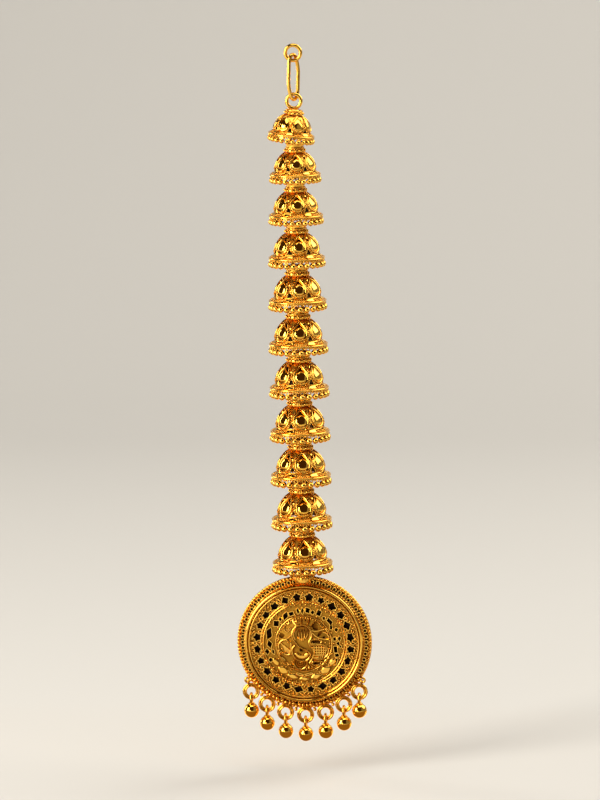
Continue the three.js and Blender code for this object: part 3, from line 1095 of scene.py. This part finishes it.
openings = []
outer_angles = [FRONT + TURN * (i + 0.5) / OUTER_COUNT for i in range(OUTER_COUNT)]
for index, angle in enumerate(outer_angles):
    seat = Matrix.Rotation(angle, 4, "Z") @ Matrix.Translation((OUTER_ORBIT, 0, 0))
    width = shears.uniform(1.4, 1.75)
    height = shears.uniform(1.4, 2.05)
    openings.append((seat, lobed(width, height, shears.choice((4, 5, 5)))))
    between = Matrix.Rotation(angle + TURN / OUTER_COUNT / 2, 4, "Z")
    seat = between @ Matrix.Translation((OUTER_ORBIT + (0.5 if index % 2 else -0.42), 0, 0))
    openings.append((seat, lobed(0.7, 0.62, 3, 9)))
for x, y, width, height, tilt in INNER_HOLES:
    seat = Matrix.Translation((x, y, 0)) @ Matrix.Rotation(math.radians(tilt), 4, "Z")
    openings.append((seat, lobed(INNER_SPREAD * width, INNER_SPREAD * height, 4, 14)))
for place in ring_places(SMALL_COUNT, SMALL_ORBIT, 0):
    if clear_of_holes(place, 0.5):
        openings.append((Matrix.Translation(place), lobed(0.85, 0.85, 3, 9)))
holes = bmesh.new()
for seat, outline in openings:
    lay(holes, prism(outline, 3), Matrix.Translation((0, 0, 0.8)) @ seat)
sheet = turn([
    (SHEET_INNER, PLATE_BACK), (SHEET_OUTER, PLATE_BACK),
    (SHEET_OUTER, PLATE_FACE), (SHEET_INNER, PLATE_FACE),
], 112, closed=True)
on_pendant("pendant_pierced_sheet", pierced(sheet, holes), PICKLED)

on_face = Vector((0, 0, PLATE_FACE + 0.06))
rims = [
    [seat @ (corner * RIM_SPREAD) + on_face for corner in outline]
    for seat, outline in openings
]
on_pendant("pendant_opening_rims", wire(rims, OPENING_RIM, 6), BURNISHED)
print("openings:", len(openings))

# %% [markdown]
# Filigree proper is bent from wire thinner than a millimetre. `scroll` gives one small spiral;
# laid in pairs round a circle they make the running border. Grains sit wherever two wires meet,
# because that is where a jeweller hides the solder.

# %% Pendant: scroll border and ropes
def scroll(orbit, angle, size, hand, height, turns=1.2, start=0.0):
    """One small spiral of wire on the face."""
    points = []
    for i in range(15):
        share = i / 14
        reach = size * (0.18 + 0.82 * share)
        twist = hand * TURN * turns * share + start
        place = Vector((orbit + reach * math.cos(twist), reach * math.sin(twist), height))
        points.append(Matrix.Rotation(angle, 4, "Z") @ place)
    return points


BORDER_SCROLLS = 66
border = []
for i in range(BORDER_SCROLLS):
    angle = TURN * i / BORDER_SCROLLS
    hand = 1 if i % 2 else -1
    border.append(scroll(11.86, angle, 0.36, hand, PLATE_FACE + 0.12, start=hand * 0.8))
on_pendant("pendant_border_scrolls", wire(border, 0.1, 6, closed=False), DRAWN)

border_dots = ring_places(84, 11.5, PLATE_FACE + 0.14) + ring_places(66, 12.1, PLATE_FACE + 0.1, 0.05)
on_pendant("pendant_border_grains", grains(border_dots, 0.21, 8, 6), GRAINED)

RING_ORBIT_OF_ROPE = 9.4
ring_line = circle_path(RING_ORBIT_OF_ROPE, PLATE_FACE + 0.1, 140)
ring_ropes = rope(ring_line, 0.11, 0.66, up_from_bench, per_twist=6, sides=5)
beside = [
    circle_path(RING_ORBIT_OF_ROPE - 0.28, PLATE_FACE + 0.2, 120),
    circle_path(RING_ORBIT_OF_ROPE + 0.28, PLATE_FACE + 0.16, 120),
]
lay(ring_ropes, wire(beside, 0.16, 8))
lay(ring_ropes, wire([circle_path(6.3, PLATE_FACE + 0.22, 100)], 0.17, 8))
on_pendant("pendant_ring_ropes", ring_ropes, DRAWN)

# %% Pendant: grains among the openings
web_dots = []
for index, angle in enumerate(outer_angles):
    between = angle + TURN / OUTER_COUNT / 2
    for orbit in (9.98, 10.52, 11.22):
        place = Vector((orbit + shears.uniform(-0.06, 0.06), 0, PLATE_FACE + 0.1))
        web_dots.append(Matrix.Rotation(between + shears.uniform(-0.02, 0.02), 4, "Z") @ place)
dot_places = ring_places(46, 8.78, 0) + ring_places(34, 6.72, 0)
for place in dot_places:
    if clear_of_holes(place, 0.35):
        web_dots.append(place + Vector((0, 0, PLATE_FACE + 0.1)))
on_pendant("pendant_web_grains", grains(web_dots, 0.22, 8, 6), GRAINED)

# %% [markdown]
# Below the middle the openwork is covered by plain burnished leaves, like the petals under a
# lotus. Each is a pillow: an outline with a short wall and a crowned top.

# %% Pendant: leaves
def leaf(length, width, steps=9):
    """A leaf outline along X, pointed at both ends."""
    top = [
        (length * (i / steps - 0.5), width / 2 * math.sin(math.pi * i / steps) ** 0.8)
        for i in range(steps + 1)
    ]
    return top + [(x, -y) for x, y in top[-2:0:-1]]


leaves = bmesh.new()
for angle, orbit, length, width in (
    (-56, 7.7, 2.2, 1.3), (-38, 7.8, 2.7, 1.8), (-19, 8.0, 2.6, 1.45), (0, 8.1, 2.4, 1.3),
    (19, 8.0, 2.6, 1.45), (38, 7.8, 2.7, 1.8), (56, 7.7, 2.2, 1.3),
):
    plate = pillow(leaf(length, width), 0.36, 0.12)
    put = (
        Matrix.Rotation(FRONT + math.radians(angle), 4, "Z")
        @ Matrix.Translation((orbit, 0, PLATE_FACE + 0.05)) @ Matrix.Rotation(TURN / 4, 4, "Z")
    )
    lay(leaves, plate, put)
    plate.free()
on_pendant("pendant_leaves", leaves, BURNISHED)

# %% [markdown]
# The middle is a low dome with a bird curled round its own neck, drawn in wire and small pads in
# the way that such pieces always have it: a fluted round crest, a looped body, a hatched wing, a
# feather, leaves and a rosette. It's a pattern, so every line is listed one by one on the dome.

# %% Pendant: raised middle
DOME_EDGE, DOME_CROWN = 6.15, 0.62


def on_middle(x, y, lift=0.0):
    """A place on the low dome of the middle."""
    share = min(1.0, (x * x + y * y) / DOME_EDGE ** 2)
    return Vector((x, y, PLATE_FACE + 0.12 + DOME_CROWN * (1 - share) + lift))


def bent(points, lift=0.1, rounds=2, closed=False):
    """A line given point by point, rounded by cutting its corners."""
    line = [Vector((x, y, 0)) for x, y in points]
    for _ in range(rounds):
        ends = line + [line[0]] if closed else line
        cut = [] if closed else [line[0]]
        for a, b in zip(ends, ends[1:]):
            cut += [a.lerp(b, 0.25), a.lerp(b, 0.75)]
        line = cut if closed else cut + [line[-1]]
    return [on_middle(p.x, p.y, lift) for p in line]


def arc(x, y, radius, start, stop, steps=24):
    return [
        (x + radius * math.cos(math.radians(start + (stop - start) * i / steps)),
         y + radius * math.sin(math.radians(start + (stop - start) * i / steps)))
        for i in range(steps + 1)
    ]


def oval_line(x, y, half_width, half_height, lift=0.1):
    """A flat oval, closed on itself."""
    return [
        on_middle(
            x + half_width * math.cos(TURN * i / 24), y + half_height * math.sin(TURN * i / 24), lift,
        )
        for i in range(25)
    ]


middle_profile = [(0, 1.2), (6.0, 1.2)]
for i in range(13):
    radius = DOME_EDGE * (1 - i / 12)
    middle_profile.append((radius, PLATE_FACE + 0.1 + DOME_CROWN * (1 - (radius / DOME_EDGE) ** 2)))
dome_holes = bmesh.new()
for x, y, length, width, tilt in (
    (2.75, 0.48, 2.1, 0.62, 0), (3.1, -4.45, 2.2, 0.62, 4), (2.65, 3.75, 1.7, 1.35, -50),
    (-4.95, 1.75, 1.5, 1.2, 20), (-0.45, -1.3, 1.15, 1.15, 50), (3.6, 2.2, 1.6, 0.75, 50),
    (4.5, 1.35, 0.8, 0.6, 60), (-5.0, -3.0, 1.9, 0.35, -48), (-2.75, -0.7, 1.5, 0.42, 85),
):
    slot = prism([Vector((u, v, 0)) for u, v in leaf(length, width, 6)], 3)
    lay(dome_holes, slot, Matrix.Translation((x, y, 1.6)) @ Matrix.Rotation(math.radians(tilt), 4, "Z"))
    slot.free()
on_pendant("pendant_middle_dome", pierced(turn(middle_profile, 96), dome_holes), PICKLED)

# %% Pendant: the bird in wire
HEAD = (-0.37, 2.1)
bold = [
    bent(arc(*HEAD, 2.2, -28, 218), 0.18, 0),
    bent([(-2.1, 0.75), (-1.6, 0.0), (-1.2, -0.5), (-0.3, -1.0), (1.0, -1.6), (1.5, -2.3), (1.3, -3.2),
          (0.5, -3.9), (-0.9, -3.9), (-2.1, -3.2), (-2.7, -2.0), (-2.5, -0.9), (-1.9, -0.3)], 0.2),
    bent([(1.58, 1.07), (1.15, 0.5), (1.3, -0.3), (2.1, -1.1), (2.35, -2.2), (1.9, -3.4),
          (1.3, -4.4)], 0.18),
    bent([(1.3, -0.15), (2.6, -0.3), (4.2, -0.25), (5.3, -0.9), (5.6, -2.0), (5.0, -3.1), (3.6, -3.6),
          (2.3, -3.4)], 0.14),
    bent([(-2.9, 0.3), (-3.9, 1.0), (-5.0, 0.7), (-5.8, -0.4), (-5.5, -1.6), (-4.4, -2.5), (-3.2, -2.6),
          (-2.8, -1.4), (-2.9, 0.3)], 0.14),
    bent(arc(-0.8, -4.35, 1.5, -205, 25), 0.14, 0),
    oval_line(2.75, 0.48, 1.3, 0.55),
    oval_line(3.1, -4.45, 1.35, 0.55),
]
fine = [bent(arc(*HEAD, 1.82, -28, 218), 0.14, 0)]
for i in range(-2, 3):
    reach = 1.4 - 0.13 * i * i
    fine.append(bent([
        (HEAD[0] + 0.6 * i, HEAD[1] + reach), (HEAD[0] + 0.66 * i, HEAD[1]),
        (HEAD[0] + 0.4 * i, HEAD[1] - reach),
    ], 0.2, 1))
for i in range(6):
    fine.append(bent([(2.3 + 0.55 * i, -0.45), (2.45 + 0.5 * i, -1.9), (2.5 + 0.4 * i, -3.4)], 0.1, 1))
for i in range(5):
    fine.append(bent([(2.2, -0.85 - 0.58 * i), (3.6, -0.8 - 0.58 * i),
                      (5.3 - 0.12 * i * i, -1.0 - 0.52 * i)], 0.12, 1))
for i in range(6):
    fine.append(bent([(-5.4 + 0.4 * i, 0.3 - 0.3 * i), (-4.6 + 0.36 * i, -0.5 - 0.3 * i),
                      (-4.2 + 0.26 * i, -1.6 - 0.2 * i)], 0.1, 1))
fine += [bent(arc(-0.8, -4.35, radius, -205, 25), 0.14, 0) for radius in (0.45, 0.95)]
fine += [
    bent([(-5.9, -1.4), (-5.3, -3.1), (-4.0, -4.4), (-2.3, -5.4)], 0.12),
    bent([(-2.7, 3.6), (-3.6, 2.5), (-4.3, 2.9), (-4.2, 4.0)], 0.12),
    bent([(-3.1, 3.7), (-3.5, 3.0), (-3.9, 3.3)], 0.12),
    bent([(-2.6, 2.2), (-3.4, 1.3), (-4.2, 1.0)], 0.12),
    bent([(1.9, 2.6), (3.2, 1.3), (5.6, 0.9)], 0.12),
    bent([(1.9, 3.0), (2.9, 2.8), (4.6, 3.3)], 0.12),
    bent([(1.6, 3.8), (2.5, 4.9), (3.7, 4.6)], 0.12),
    bent([(4.4, 2.6), (5.2, 2.3), (5.7, 1.4)], 0.12),
    bent([(-0.4, 4.6), (-0.4, 5.2), (-0.4, 5.9)], 0.1, 0),
    bent([(-1.7, 4.2), (-2.3, 5.0), (-2.5, 5.4)], 0.1, 0),
    bent([(0.9, 4.2), (1.3, 5.0), (1.4, 5.7)], 0.1, 0),
]
BOLD_WIRE, FINE_WIRE = 0.24, 0.15
on_pendant("pendant_bird_lines", wire(bold, BOLD_WIRE, 8, closed=False), BURNISHED)
on_pendant("pendant_bird_fine_lines", wire(fine, FINE_WIRE, 6, closed=False), BURNISHED)

# %% Pendant: pads and grains of the middle
pads = bmesh.new()
for x, y, length, width, tilt in (
    (-4.7, -3.5, 2.6, 0.8, -48),
    (-2.75, -5.0, 1.6, 0.6, -25), (1.4, -5.4, 1.6, 0.6, 10), (4.9, -3.9, 1.3, 0.6, 50),
    (3.9, 4.2, 1.5, 0.6, -45), (-1.4, 5.1, 1.3, 0.6, 20), (0.5, 5.2, 1.3, 0.6, -8),
    (-3.2, 4.6, 1.3, 0.6, 40), (-5.4, 3.0, 1.3, 0.5, 65), (5.3, 2.9, 1.3, 0.5, -62),
):
    plate = pillow(leaf(length, width), 0.32, 0.1)
    rest = on_middle(x, y)
    lay(pads, plate, Matrix.Translation(rest) @ Matrix.Rotation(math.radians(tilt), 4, "Z"))
    plate.free()
crescent = pillow(
    arc(-0.4, -1.75, 1.75, 195, 345, 16) + arc(-0.4, -1.1, 1.35, 325, 215, 12), 0.42, 0.1,
)
lay(pads, crescent, Matrix.Translation((0, 0, on_middle(-0.4, -2.8).z)))
on_pendant("pendant_middle_pads", pads, BURNISHED)

middle_dots = [on_middle(p.x, p.y, 0.05) for p in ring_places(64, 5.85, 0)]
middle_dots += [on_middle(x, y, 0.1) for x, y in (
    (-0.8, -4.3), (-4.9, -0.1), (-4.2, -0.6), (-3.6, -1.2), (-4.9, -1.2), (-4.2, -1.9), (-3.5, 0.2),
    (-3.6, -4.9), (0.9, -4.9), (-2.6, -4.2), (-3.0, 1.6), (4.9, 0.2), (5.6, -3.3), (-5.7, 0.9),
)]
on_pendant("pendant_middle_grains", grains(middle_dots, 0.2, 8, 6), GRAINED)
print("bird lines:", len(bold) + len(fine))

# %% [markdown]
# Seven double rings are soldered round the lower edge with clusters of grains between them. In
# every ring hangs a long wire eye, seen edge-on, that ends in a burnished ball. The rings follow
# the pendant's own circle, so their places are angles about its middle.

# %% Pendant: rings, edge clusters and neck
DROPS = [f"drop_{number}" for number in range(1, 8)]
RING_ORBIT, RING_DEPTH, RING_STEP = 16.5, 1.3, math.radians(15.8)
OUTER_RING, OUTER_RING_WIRE = 1.7, 0.27
INNER_RING, INNER_RING_WIRE = 1.24, 0.25
END_RING, END_RING_WIRE, END_RING_ORBIT, END_RING_ANGLE = 0.52, 0.27, 15.5, math.radians(56.5)
LOOP_RADIUS, LOOP_WIRE = 1.45, 0.42  # the CAD's loops, which the double rings stand for
ring_angles = [(index - 3) * RING_STEP for index in range(7)]


def around_edge(angle, orbit, depth):
    """A place round the pendant's edge, with the angle counted from straight down."""
    return Vector((orbit * math.sin(angle), -orbit * math.cos(angle), depth))


rings = bmesh.new()
outer_ring = wire([circle_path(OUTER_RING, 0, 36)], OUTER_RING_WIRE, 8)
inner_ring = wire([circle_path(INNER_RING, 0, 30)], INNER_RING_WIRE, 8)
end_ring = wire([circle_path(END_RING, 0, 20)], END_RING_WIRE, 8)
for angle in ring_angles:
    put = Matrix.Translation(around_edge(angle, RING_ORBIT, RING_DEPTH))
    lay(rings, outer_ring, put)
    lay(rings, inner_ring, put)
for side in (-1, 1):
    put = Matrix.Translation(around_edge(side * END_RING_ANGLE, END_RING_ORBIT, RING_DEPTH))
    lay(rings, end_ring, put)
on_pendant("pendant_drop_rings", rings, BURNISHED)

cluster = []
for index in range(-1, 7):
    angle = (index - 2.5) * RING_STEP
    cluster += [around_edge(angle, 14.75, 1.35), around_edge(angle, 15.45, 1.25)]
    cluster += [around_edge(angle + side * 0.048, 14.2, 1.45) for side in (-1, 1)]
for angle in ring_angles:
    cluster += [around_edge(angle + side * 0.04, 14.25, 1.5) for side in (-0.8, 0.8)]
on_pendant("pendant_edge_clusters", grains(cluster, 0.42, 12, 8), GRAINED)

pendant_eye_top = box_mm("pendant")[1].z
neck_top = pendant_eye_top - 2 * EYE_RADIUS
NECK_HEIGHT = 2.35
cup = turn([
    (0, -NECK_HEIGHT), (1.85, -NECK_HEIGHT), (2.0, -1.5), (1.85, -1.0), (1.8, -0.6), (1.95, -0.25),
    (2.15, -0.06), (2.0, 0), (1.8, -0.2), (1.6, -0.6), (0, -0.6),
], 56)
lay(cup, rope(circle_path(1.98, -1.05), 0.12, 0.6, outward_flat, per_twist=6, sides=5))
lay(cup, grains(ring_places(16, 1.95, -1.5), 0.24, 10, 7))
cup_stand = Matrix.Translation((0, 0, neck_top))
finish("pendant_neck", cup, cup_stand, GRAINED, "pendant", "pendant")
eye = eye_ring(pendant_eye_top - EYE_WIRE - EYE_RADIUS, edge_on=True)
finish("pendant_eye", eye, Matrix.Identity(4), DRAWN, "pendant", "pendant")

# %% Ball drops
BALL_RADIUS, BALL_BELOW_RING = 1.69, 4.35
DROP_WIRE, DROP_HALF_WIDTH = 0.33, 0.95


def drop():
    """Ball, small cup and long eye, with the middle of the ring at the origin."""
    whole = bmesh.new()
    bmesh.ops.create_uvsphere(
        whole, u_segments=40, v_segments=24, radius=BALL_RADIUS,
        matrix=Matrix.Translation((0, 0, -BALL_BELOW_RING)),
    )
    top = LOOP_WIRE - LOOP_RADIUS + DROP_WIRE + PLAY
    bottom = -BALL_BELOW_RING + BALL_RADIUS - 0.25
    half, centre = (top - bottom) / 2, (top + bottom) / 2
    path = [
        Vector((0, DROP_HALF_WIDTH * math.cos(a), centre + half * math.sin(a)))
        for a in (TURN * i / 48 for i in range(48))
    ]
    lay(whole, wire([path], DROP_WIRE, 10))
    shoulder = -BALL_BELOW_RING + BALL_RADIUS
    lay(whole, wire([circle_path(0.62, shoulder - 0.1, 24)], 0.17, 8))
    return whole


one_drop = drop()
for node, angle in zip(DROPS, ring_angles):
    place = stand_up @ around_edge(angle, RING_ORBIT, RING_DEPTH)
    finish(f"{node}_ball", one_drop, Matrix.Translation(place), BURNISHED, "pendant", node)
print("drops:", len(DROPS))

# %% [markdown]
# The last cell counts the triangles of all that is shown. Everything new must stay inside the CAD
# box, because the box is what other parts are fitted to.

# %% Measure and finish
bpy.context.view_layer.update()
total = 0
for obj in bpy.data.objects:
    if obj.type == "MESH" and obj.visible_get():
        count = sum(len(polygon.vertices) - 2 for polygon in obj.data.polygons)
        total += count
print("triangles in all:", total)
